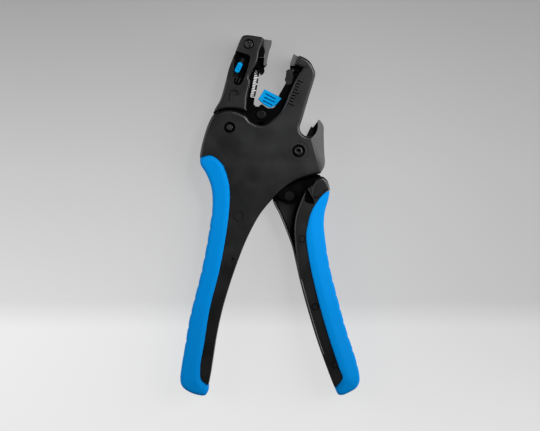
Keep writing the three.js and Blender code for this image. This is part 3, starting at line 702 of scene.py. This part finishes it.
bolt()
nut()
washer("main_pivot_washer", MAIN, 3.45, 2.45, 7.62, 8.2)
washer("jaw_pivot_washer", JAW, 2.9, 1.84, 7.75, 8.3)
pin("jaw_pivot_pin", JAW, [(1.5, -9.7), (1.8, -9.4), (1.8, 9.3), (1.72, 9.5), (1.5, 9.68), (0.9, 9.72)],
    "body", coat="dark_zinc")
pin("link_pin", LINK, headed(1.6, 2.5, 4.7, 5.3), "handle", coat="dull_zinc")
pin("tail_pin", TAIL, headed(1.6, 2.5, 4.7, 5.3), "draw_lever")
pin("arm_pin", ARM, headed(1.55, 2.6, 4.7, 5.8, 0.6), "draw_lever", coat="dull_zinc")
for number, at in enumerate(RIVETS, 1):
    pin(f"cutter_rivet_{number}", at, [(1.0, -WEB), (1.0, 1.8), (1.6, 1.8), (1.6, 2.1), (1.35, 2.34),
                                       (0.8, 2.4)], "handle", "bright_steel")


# ---- steel levers and links -----------------------------------------------

def draw_lever():
    cheeks = [slab(bar(JAW, ARM, 4.4, 3.2), low, high) for low, high in ((3.3, 4.6), (-4.6, -3.3))]
    body = slab(bar(JAW, TAIL, 4.4, 2.9), -WEB, WEB, name="draw_lever")
    body = join(body, *cheeks, rod(JAW, 5.2, -4.6, 4.6))
    body = cut(body, rod(JAW, 1.88, -12, 12), rod(ARM, 1.57, -12, 12), rod(TAIL, 1.62, -12, 12))
    return finish(body, "draw_lever", "black_steel", ["draw_lever"], bevel=0.2)


def push_links():
    link = slab(bar(LINK, LINK_EYE, 3.4, 2.9), 3.3, 4.6, name="push_link_front")
    link = cut(link, rod(LINK, 1.68, 0, 12), rod(LINK_EYE, 1.95, 0, 12))
    finish_pair(link, "push_link", "push_link", "black_steel", 0.22)


def sweep(name, path, r, n=10):
    """A round wire along a path of (x, y, z) points."""
    p = np.asarray(path, float)
    t = np.gradient(p, axis=0)
    t /= np.linalg.norm(t, axis=1)[:, None]
    rings = []
    for q, d in zip(p, t):
        side = np.cross(d, (0, 0, 1))
        side /= np.linalg.norm(side)
        up = np.cross(side, d)
        rings.append([tuple(q + r * (math.cos(a) * side + math.sin(a) * up))
                      for a in np.linspace(0, 2 * math.pi, n, endpoint=False)])
    return loft(name, rings)


def return_spring():
    turn = np.linspace(0, 1, 241)
    a = math.pi * (0.9 + 5.2 * turn)
    path = np.stack([MAIN[0] + 6 * np.cos(a), MAIN[1] + 6 * np.sin(a), 4.2 + 2.6 * turn], 1)
    return finish(sweep("return_spring", path, 0.42), "body", "bright_steel", ["return_spring"], bevel=0)


draw_lever()
push_links()
return_spring()


# ---- moving handle --------------------------------------------------------

lobe = outline(curve([(15, 27.4), (7.4, 28.6), (4.6, 33), (5.4, 38), (8.2, 40.2), (10.8, 39.4),
                      (15, 34.2)], 4))


def handle_lever():
    """The plate inside the handle, its hub and the seat for the moving cutter blade."""
    plate = slab(web_line, -WEB, WEB, top=(0.8, 0.42), bottom=(0.4, 0.35), rounds=1, name="handle_lever")
    crease = offset_path([q for q in web_inside if -30 < q[1] < 12], 1.3)
    plate = cut(plate, slab(moving_grip_zone, -4, 4), groove(crease, 0.45, WEB - 0.5, 6))
    heel = slab([(22, 16), (22.3, 21.5), (26, 22), (27.9, 20.1), (27, 16)], -WEB, WEB)
    plate = join(plate, slab(core_line, -WEB, WEB), heel)
    seat = cut(slab([(0, 26), (15, 26), (15, 34.2), (13, 52), (0, 52)], 0.1, 4), rod(MAIN, 6.4, 0, 5))
    body = join(cut(plate, seat), slab(lobe, -WEB, 0.1), rod(MAIN, 6.4, -WEB, WEB),
                rod(MAIN, 5.2, -7.2, 7.2))
    body = cut(body, rod(MAIN, 2.48, -12, 12), rod(LINK, 1.62, -12, 12),
               *[rod(at, 1.02, -12, 12) for at in RIVETS])
    # The plate wears the nylon with painted shade under the body's edge and in its corners.
    return finish(body, "handle", "black_nylon", ["handle_lever"], bevel=0.12, coat="painted_shade_web_nylon")


def offset_path(line, d):
    """A path moved sideways to its right by d."""
    return [tuple(q) for q in np.asarray(line, float) - leftwards(line) * d]


def handle_cover():
    """A cover shell with a raised boss and a pocket at its top and a lip down its inside edge."""
    low = WEB + 0.3
    base = slab(cover_line, low, COVER, top=(1.1, 0.75), bottom=(0.12, 0.12), name="handle_cover_front")
    base = cut(base, slab(moving_grip_zone, -12, 12))
    inside = cover_inside[::-1] + handle_inside[::-1][1:]
    lip_line = offset_path([q for q in inside if -62 < q[1] < 5], 1.75)
    pocket = slab([(19.5, 14.4), (21.3, 11.4), (23, 8.6), (23.3, 6.3), (20.4, 6.4), (18.1, 7.8),
                   (18.1, 10.2), (18.8, 12.5)], COVER - 2.6, 12, bottom=(0.3, 0.5))
    boss_line = curve([(22.8, 15.2), (24.9, 18.9), (27.4, 20.1), (29.6, 18.5), (30.6, 16.2), (30.2, 14.2),
                       (28, 12.4), (25.4, 9.6), (23.2, 9.4), (22.2, 12), (22.8, 15.2)])[:-1]
    boss = slab(boss_line, COVER - 1, 9.55, top=(1.4, 0.34))
    base = join(base, slab(core_line, low, CORE), boss)
    marks = [(16.8, -12.1), (23.7, -47.9), (34.4, -78.4)]
    return cut(base, pocket, groove(lip_line, 0.6, COVER - 0.6, 12),
               *[cut(rod(at, 1.9, COVER - 0.4, 12), rod(at, 1.5, COVER - 1, 13)) for at in marks])


def edge_beads():
    """A rolled edge down the inside of the moving handle, on the plate and then the cover, with a light grey
    coat that is a painted highlight along it.
    """
    upper = offset_path([q for q in web_inside if -31 < q[1] < 8], 0.55)
    lower = offset_path([q for q in handle_inside if -74 < q[1] < -33], 0.95)
    plate = sweep("plate_edge_bead", [(x, y, WEB - 0.15) for x, y in upper], 0.2)
    cover = sweep("cover_edge_bead", [(x, y, COVER - 0.06) for x, y in lower], 0.16)
    # The light grey coat paints a highlight line along the edge.
    finish(plate, "handle", "bright_steel", bevel=0, coat="painted_highlight_edge")
    finish(cover, "handle", "bright_steel", bevel=0, coat="painted_highlight_edge")


handle_lever()
edge_beads()
# The front cover wears the nylon with painted shade in its corners and its pocket.
finish_pair(handle_cover(), "handle_cover", "handle", "black_nylon", 0.14, coat="painted_shade_web_nylon")


# ---- cutter and clamping inserts ------------------------------------------

def cutter_blades():
    moving = outline([(15.4, 43.1), (15.6, 50)],
                     curve([(15.6, 50), (13.6, 50.2), (9.4, 46.6), (6, 41), (4.9, 35.6), (5.4, 31.4)]),
                     arc(MAIN, 6.6, 200, 92, 16))
    low, high = BLADE
    edge = slab(moving, low, high, top=(0.1, 0.1), rounds=2, name="moving_cutter_blade")
    grind = wedge((15.4, 43.1), (15.6, 50), 1.6, high, 1.2)
    edge = cut(edge, grind, *[rod(at, 1.02, -3, 3) for at in RIVETS])
    finish(edge, "handle", "blade_steel", ["moving_cutter_blade"], bevel=0.04)
    fixed = slab(fixed_blade, -high, -low, bottom=(0.1, 0.1), rounds=2, name="fixed_cutter_blade")
    fixed = cut(fixed, wedge((21.8, 47.6), (18.9, 41.8), 1.5, -high, -1.2))
    finish(fixed, "body", "blade_steel", ["fixed_cutter_blade"], bevel=0.04)


def wedge(a, b, width, z, drop):
    """What grinding takes off a blade face to the right of the line from a to b."""
    a, b = np.array(a, float), np.array(b, float)
    t = (b - a) / np.linalg.norm(b - a)
    n = np.array((-t[1], t[0]))
    clear = z + math.copysign(3, drop)
    tilt = drop * 2 / width
    rings = []
    for q in (a - t * 2, b + t * 2):
        inner, outer = q + n * width, q - n * 2
        rings.append([(*inner, z), (*q, z - drop), (*outer, z - drop - tilt), (*outer, clear),
                      (*inner, clear)])
    return loft("wedge", rings)


def toothed(line, pitch=0.72, depth=0.34):
    """A run of points with a saw edge: V notches to the left of its direction."""
    count = max(2, int(round(sum(math.dist(a, b) for a, b in zip(line, line[1:])) / pitch)))
    p = even(line, count * 2)
    n = leftwards(p)
    return [tuple(q + n[i] * depth * (i % 2)) for i, q in enumerate(p)]


def clamping_inserts():
    face = toothed([(10.55, 79.5), (10.8, 81.1), (12.3, 85.3)][::-1])
    right = outline(face + right_insert[2:] + right_insert[:1])
    finish(slab(right, -INSERT, INSERT, top=(0.2, 0.2), bottom=(0.2, 0.2), rounds=2, name="right_insert"),
           "body", "grey_insert", ["right_insert"], bevel=0)
    face = toothed(curve(insert_face, 4)[::-1])
    left = outline(face + insert_back[::-1] + [(-2.8, 87.2), (-2.4, 85.4)])
    leg = [(-2.5, 86.3), (-0.9, 86.3), (-0.95, 85.9), (-1.5, 83.6), (-1.8, 81.1), (-2.3, 79.4),
           (-3.4, 79.6), (-2.9, 84.4), (-2.45, 85.5)]
    body = join(slab(left, -INSERT, INSERT, name="left_insert"), slab(leg, 3.6, INSERT - 0.2),
                slab(leg, 0.2 - INSERT, -3.6))
    finish(body, "left_jaw", "grey_insert", ["left_insert"], bevel=0.15)


def nose_painted_shade():
    """A near-black sheet over the tip of the right arm, under the right insert, that paints the shade of the
    recess there.
    """
    plate = slab(nose_shelf[:2] + [(17.6, 79.1), (10.65, 79.1)] + nose_shelf[4:], 5.0, 5.3, name="nose_painted_shade")
    # The near-black finish paints the shade under the insert.
    finish(plate, "body", "black_steel", bevel=0.05)


cutter_blades()
clamping_inserts()
nose_painted_shade()


# ---- left jaw -------------------------------------------------------------

def across(centre, length, degrees):
    """The two ends of a line of a given length and direction about its centre."""
    a = math.radians(degrees)
    step = (math.cos(a) * length / 2, math.sin(a) * length / 2)
    return (centre[0] - step[0], centre[1] - step[1]), (centre[0] + step[0], centre[1] + step[1])


scoop = outline(curve([(-29, 83.2), (-25, 86), (-19.5, 87.2), (-13.5, 85.6), (-10.8, 84.6),
                       (-10.4, 83.4)], 5),
                curve([(-10.4, 83.4), (-11.8, 77.7), (-13.6, 72.8), (-15, 69.8), (-16.6, 68.8),
                       (-18.8, 69.4)], 5),
                [(-21.4, 71.4), (-29, 74)])


def scoop_solid():
    """The adjuster's window: its floor is shallow at the jaw's edge and steps down further in."""
    shallow, deep = JAW_HALF - 0.8, JAW_HALF - 5.2
    floor = sloping([(-32, shallow), (-19, shallow), (-18.6, deep), (-8, deep), (-8, 12), (-32, 12)],
                    (40, 120), turn=90.0)
    return meet(slab(scoop, 4, 12), flipped(floor))


def flipped(obj):
    """Mirrors a piece across x, for a section that was laid along +y."""
    for v in obj.data.vertices:
        v.co.x = -v.co.x - 2 * CENTRE[0] * MM
    obj.data.flip_normals()
    return obj


def arrow():
    """A plain curved arrow sunk into the jaw face."""
    bend = arc((-19.1, 64.2), 2.1, 185, -20, 20)
    tip = bend[-1]
    stem = [(-21.5, 60.9), (-21.2, 64)]
    head = [[(tip[0] - 1.3, tip[1] + 0.5), tip], [(tip[0] + 1.0, tip[1] + 1.1), tip]]
    level = JAW_HALF - 1.3
    return [groove(line, 0.5, level, 12) for line in [bend, stem] + head]


def jaw_shell(name, front):
    hull = slab(jaw_line, SEAM, JAW_HALF, top=(1.1, 1.0), bottom=(0.12, 0.12), name=name)
    body = join(cut(hull, slab(jaw_room, -1, JAW_ROOM)), slab(insert_ledge, SEAM, 7.4))
    body = cut(body, slab(inset(cheek_root, -0.02), 4.88, 7.22),
               slab(inset(left_insert, -0.1), -1, INSERT + 0.1),
               rod(SCREW, 1.5, 0, 12), rod(SCREW, 2.8, 8.2 if front else 7.6, 12))
    if not front:
        return body
    ledge = slab([(-4.4, 93.7), (-3.35, 93.0), (-3.2, 89.3), (-7, 89.3), (-7.2, 92.5)], INSERT + 0.1, 8.7)
    ribs = [slab(bar(*across(at, 2.4, KNOB_TILT), 0.3), 4, 7.4)
            for at in ((-18.9, 73.0), (-17.6, 72.2), (-16.3, 71.4))]
    body = join(cut(join(body, ledge), scoop_solid()), *ribs)
    head_room = slab(bar(*across(KNOB, TRACK + 0.4, KNOB_TILT), KNOB_R + 0.15), 7.5, 12)
    return cut(body, knob_track(), head_room, *arrow())


def knob_track():
    """The slot that the adjuster's stem slides in."""
    return slab(bar(*across(KNOB, TRACK, KNOB_TILT), 1.0), 4.2, 12)


def jaw_cheeks():
    """The blackened steel cheeks that carry the left jaw on its pin."""
    plate = join(rod(JAW, 6.4, 4.9, 7.2, name="left_jaw_cheek_front"), slab(cheek_root, 4.9, 7.2))
    plate = cut(plate, rod(JAW, 1.88, 0, 12))
    rear = mirrored(plate, "left_jaw_cheek_rear")
    for cheek in (plate, rear):
        finish(cheek, "left_jaw", "black_steel", bevel=0.1)


def jaw_fittings():
    """A near-black plate on the deep floor of the adjuster's window, with the knob's track cut through it,
    that paints the shade there; and the clamp that holds the insert.
    """
    # The plate paints the shade on the window's deep floor.
    inner = inset(scoop, 0.15)
    keep = [(-18.4, 60), (-5, 60), (-5, 95), (-18.4, 95)]
    plate = meet(slab(inner, 4.62, 4.95, name="painted_shade_plate"), slab(keep, 4, 6))
    plate = cut(plate, knob_track())
    finish(plate, "left_jaw", "black_steel", bevel=0.05)
    clamp = slab([(-3.25, 89.2), (-2.8, 87.3), (-3.3, 83.6), (-6.9, 83.6), (-7, 89.2)], INSERT + 0.12, 8.6,
                 top=(0.3, 0.3), name="insert_clamp")
    finish(clamp, "left_jaw", "black_steel", bevel=0.05)


def rounded(line, z0, z1, r, name):
    return slab(line, z0, z1, top=(r, r), bottom=(r * 0.5, r * 0.5), rounds=4, name=name)


def jaw_screw():
    """Cross-recessed pan head on a plain shank."""
    body = join(rounded(disc(SCREW, 2.2), 8.1, 9.6, 0.5, "jaw_screw"), rod(SCREW, 1.4, -8.6, 8.3))
    slots = [slab(bar(*across(SCREW, 3.0, turn), 0.42), 8.3, 12) for turn in (20, 110)]
    finish(cut(body, *slots), "left_jaw", "black_steel", ["jaw_screw"], bevel=0.06, coat="dark_zinc")


def jaw_nut():
    body = cut(slab(hexagon(SCREW, 2.6), -9.6, -7.7, name="jaw_nut"), rod(SCREW, 1.45, -12, 0))
    finish(body, "left_jaw", "bright_steel", ["jaw_nut"], bevel=0.2)


def adjuster_knob():
    body = rounded(bar(*across(KNOB, 3.2, KNOB_TILT), KNOB_R), 7.75, 9.9, 0.5, "adjuster_knob")
    stem = slab(bar(*across(KNOB, 1.0, KNOB_TILT), 0.75), 4.5, 7.9)
    cuts = []
    for shift in (-1.1, 0, 1.1):
        at = across(KNOB, abs(2 * shift), KNOB_TILT)[0 if shift < 0 else 1]
        cuts.append(groove(across(at, 4, KNOB_TILT + 90), 0.34, 9.45, 12))
    finish(cut(join(body, stem), *cuts), "adjuster", "blue_nylon", ["adjuster_knob"], bevel=0.06)


plain_half = jaw_shell("plain_half", False)
finish(mirrored(plain_half, "left_jaw_rear"), "left_jaw", "black_nylon", ["left_jaw_rear"], bevel=0.14)
bpy.data.objects.remove(plain_half)
finish(jaw_shell("left_jaw_front", True), "left_jaw", "black_nylon", ["left_jaw_front"], bevel=0.14)
jaw_cheeks()
jaw_fittings()
jaw_screw()
jaw_nut()
adjuster_knob()


# ---- blade arms, cassettes and length stop --------------------------------

left_arm_line = outline(arc(ARM, 3.2, -110, 20, 20), [(-5.9, 57.9)],
                        curve([(-7.7, 58.3), (-8.6, 59.3), (-8.4, 61.4), (-7, 68.1), (-5.8, 75.4),
                               (-4.6, 79)]),
                        curve([(-5, 82.6), (-9, 82.6), (-11.4, 79), (-13.2, 72), (-13.2, 63), (-13.4, 57),
                               (-12.2, 51.4), (-8.4, 47.8)]))
right_arm_line = outline(arc(ARM, 3.2, 150, 250, 16),
                         curve([(-2, 48.4), (3.2, 50), (7.6, 53.6), (11.4, 59.2), (13.8, 66), (15.5, 72),
                                (15.7, 76), (16.3, 77.4)]),
                         curve([(10.4, 76.4), (9.6, 72.5), (8.2, 70.2), (6.7, 67.5), (4.4, 63.3), (3.4, 59.4),
                                (1.8, 57.4), (0.2, 57.1), (-1.3, 57.2), (-4.3, 59.3)]),
                         [(-5.8, 58.4), (-6.8, 56.4)])
left_cassette = outline([(-2.6, 83.8), (-2.3, 82.8), (-1.9, 81.1), (-2.1, 79.6), (-3.2, 78.8), (-3, 77.9),
                         (-3, 76.5), (-3.8, 75.4), (-5.1, 74.7), (-5.7, 76.4), (-6.2, 78.6), (-10.2, 79),
                         (-9.4, 83.8)])
right_cassette = outline([(9.3, 77.6), (8.4, 75.6), (8.4, 74.2), (7.7, 72.1), (8.4, 71.1), (8.4, 70.2),
                          (9.6, 69.4), (11.6, 70.2), (12.2, 74), (12, 77.6)])
left_blade = [(-1.6, 80.1), (-1.7, 80.6), (-7.4, 80.9), (-7.4, 80.3)]
right_blade = [(8.45, 76.5), (8.5, 77), (11.5, 77.1), (11.5, 76.5)]


def arm_set(side, arm_line, cassette_line, blade_line, layer, lobes=(), coat=None):
    """One stripping arm with its blade cassette and blade."""
    low, high = layer
    body = side + "_arm"
    plate = join(slab(arm_line, low, high, name=body), *lobes)
    plate = cut(plate, rod(ARM, 1.63, -12, 12))
    finish(plate, body, "black_steel", [body], bevel=0.18)
    slot = slab(inset(arm_line, -0.05), low - 0.05, high + 0.05)
    holder = slab(cassette_line, -CASSETTE, CASSETTE, name=side + "_cassette")
    holder = cut(holder, slot, slab(inset(blade_line, -0.05), -3, 3))
    finish(holder, body, "black_nylon", [side + "_cassette"], bevel=0.2, coat=coat)
    slot = slab(inset(arm_line, -0.1), low - 0.1, high + 0.1)
    blade = cut(slab(blade_line, -2.9, 2.9, name=side + "_blade"), slot)
    finish(blade, body, "blade_steel", [side + "_blade"], bevel=0.03)


def scale_marks():
    """A plain printed scale on the left arm in place of its figures."""
    face = LEFT_ARM[1]
    ticks = tick_scale((-10.4, 63.4), (-7.9, 77.3), 16, 2.4, 1.6, 0.52, (face - 0.1, face + 0.05))
    body = join(*ticks)
    body.name = "arm_scale"
    finish(body, "left_arm", "grey_insert", bevel=0, coat="white_print")


def length_stop():
    stop_line = outline([(-2.9, 67.1), (-6.3, 61.8), (-4.2, 59.7), (-1.1, 57.6), (0.5, 57.2), (3.2, 58.7),
                         (6.1, 62.1), (4.5, 63.3)])
    finger = outline([(-2.9, 67.1), (-6.3, 61.8), (-4.2, 59.7), (-1.1, 57.6), (0.5, 57.5), (0.8, 64.8)])
    body = join(rounded(stop_line, 2.8, 4.8, 0.35, "length_stop"), slab(finger, 0.2, 4))
    ends = (((-2.2, 64.6), (2.6, 61.9)), ((-2.9, 62.6), (2.2, 60.2)), ((-3.5, 60.9), (0.9, 58.6)))
    cuts = [slab(bar(a, b, 0.38), 3.5, 6) for a, b in ends]
    finish(cut(body, *cuts), "length_stop", "blue_nylon", ["length_stop"], bevel=0.08)


# The left cassette takes the near-black steel finish instead of the right one's nylon: painted shade that
# makes it the darker of the two.
arm_set("left", left_arm_line, left_cassette, left_blade, LEFT_ARM, [rod(LOBE, 5.6, *LEFT_ARM, 80)],
        "black_steel")
arm_set("right", right_arm_line, right_cassette, right_blade, RIGHT_ARM)
scale_marks()
length_stop()


# ---- floor and light ------------------------------------------------------

FLOOR_GLOW = 0.82
FLOOR_ALBEDO = 0.1
# Stops of (place from front to back, tone) for the painted light in the floor's glow: a light floor, a soft
# step, and a backdrop that falls off, all painted on the flat floor.
PAINTED_SWEEP_LIGHT = ((0.0, 0.85), (0.25, 0.8), (0.31, 0.63), (0.6, 0.52), (1.0, 0.31))
# Painted light: the left side glows lighter than the right, most of all just behind the step.
PAINTED_LIGHT_LEAN = ((0.0, 0.05), (0.32, 0.15), (1.0, 0.04))


def grey_ramp(nodes, stops):
    """A ramp node with the given grey stops."""
    node = nodes.new("ShaderNodeValToRGB")
    while len(node.color_ramp.elements) < len(stops):
        node.color_ramp.elements.new(0.5)
    for element, (where, tone) in zip(node.color_ramp.elements, stops):
        element.position = where
        element.color = (tone, tone, tone, 1)
    return node


def floor():
    """A flat pale floor that glows with painted light like a sweep: brighter towards the viewer, falling off
    gently behind the jaws.
    """
    bm = bmesh.new()
    corners = [bm.verts.new((x, y, -0.0004)) for x, y in ((-4, -4), (4, -4), (4, 4), (-4, 4))]
    bm.faces.new(corners)
    mesh = bpy.data.meshes.new("floor")
    bm.to_mesh(mesh)
    bm.free()
    obj = bpy.data.objects.new("floor", mesh)
    scene.collection.objects.link(obj)
    mat = bpy.data.materials.new("floor")
    mat.use_nodes = True
    nodes, links = mat.node_tree.nodes, mat.node_tree.links
    shader = nodes["Principled BSDF"]
    at = put(nodes, "TexCoord")
    split = put(nodes, "SeparateXYZ")
    links.new(at.outputs["Object"], split.inputs["Vector"])
    span = put(nodes, "MapRange", From_Min=-0.12, From_Max=0.12)
    links.new(split.outputs["Y"], span.inputs["Value"])
    ramp = grey_ramp(nodes, PAINTED_SWEEP_LIGHT)
    amount = grey_ramp(nodes, PAINTED_LIGHT_LEAN)
    links.new(span.outputs["Result"], ramp.inputs["Fac"])
    links.new(span.outputs["Result"], amount.inputs["Fac"])
    aside = nodes.new("ShaderNodeMath")
    aside.operation = "MULTIPLY"
    aside.inputs[1].default_value = -1 / 0.12
    links.new(split.outputs["X"], aside.inputs[0])
    lean = nodes.new("ShaderNodeMath")
    lean.operation = "MULTIPLY_ADD"
    lean.inputs[2].default_value = 1.0
    links.new(aside.outputs["Value"], lean.inputs[0])
    links.new(amount.outputs["Color"], lean.inputs[1])
    tone = nodes.new("ShaderNodeVectorMath")
    tone.operation = "SCALE"
    links.new(ramp.outputs["Color"], tone.inputs[0])
    links.new(lean.outputs["Value"], tone.inputs["Scale"])
    shader.inputs["Base Color"].default_value = (*[FLOOR_ALBEDO] * 3, 1.0)
    # Painted light: the emission carries the floor's tones, over a dark base colour.
    links.new(tone.outputs["Vector"], shader.inputs["Emission Color"])
    shader.inputs["Emission Strength"].default_value = FLOOR_GLOW
    shader.inputs["Roughness"].default_value = 0.9
    shader.inputs["Specular IOR Level"].default_value = 0.1
    obj.data.materials.append(mat)


def aimed(lamp, at, target, power):
    """Hangs a lamp at a point, pointing at another."""
    lamp.energy = power
    obj = bpy.data.objects.new(lamp.name, lamp)
    obj.location = at
    obj.rotation_euler = (Vector(target) - Vector(at)).to_track_quat("-Z", "Y").to_euler()
    obj.visible_camera = False
    scene.collection.objects.link(obj)


def area_light(name, at, size, power, target=(0.0, 0.0, 0.01)):
    lamp = bpy.data.lights.new(name, "AREA")
    lamp.shape = "RECTANGLE"
    lamp.size, lamp.size_y = size
    aimed(lamp, at, target, power)


def spot_light(name, at, target, angle, radius, power):
    lamp = bpy.data.lights.new(name, "SPOT")
    lamp.spot_size, lamp.spot_blend = math.radians(angle), 1.0
    lamp.shadow_soft_size = radius
    aimed(lamp, at, target, power)


floor()
KEY_WATTS, FILL_WATTS, SPOT_WATTS = 8.4, 4.6, 8.8
area_light("key", (0.68, 0.14, 0.42), (0.5, 0.8), KEY_WATTS)
area_light("fill", (-0.62, 0.15, 0.45), (0.6, 0.8), FILL_WATTS)
spot_light("head", (0.18, 0.20, 0.46), (0.010, 0.033, 0.01), 25.0, 0.08, SPOT_WATTS)
world = bpy.data.worlds.new("studio")
world.use_nodes = True
sky = world.node_tree.nodes["Background"]
sky.inputs["Color"].default_value = (0.8, 0.8, 0.8, 1)
sky.inputs["Strength"].default_value = 0.04
scene.world = world
scene.view_settings.view_transform = "Standard"
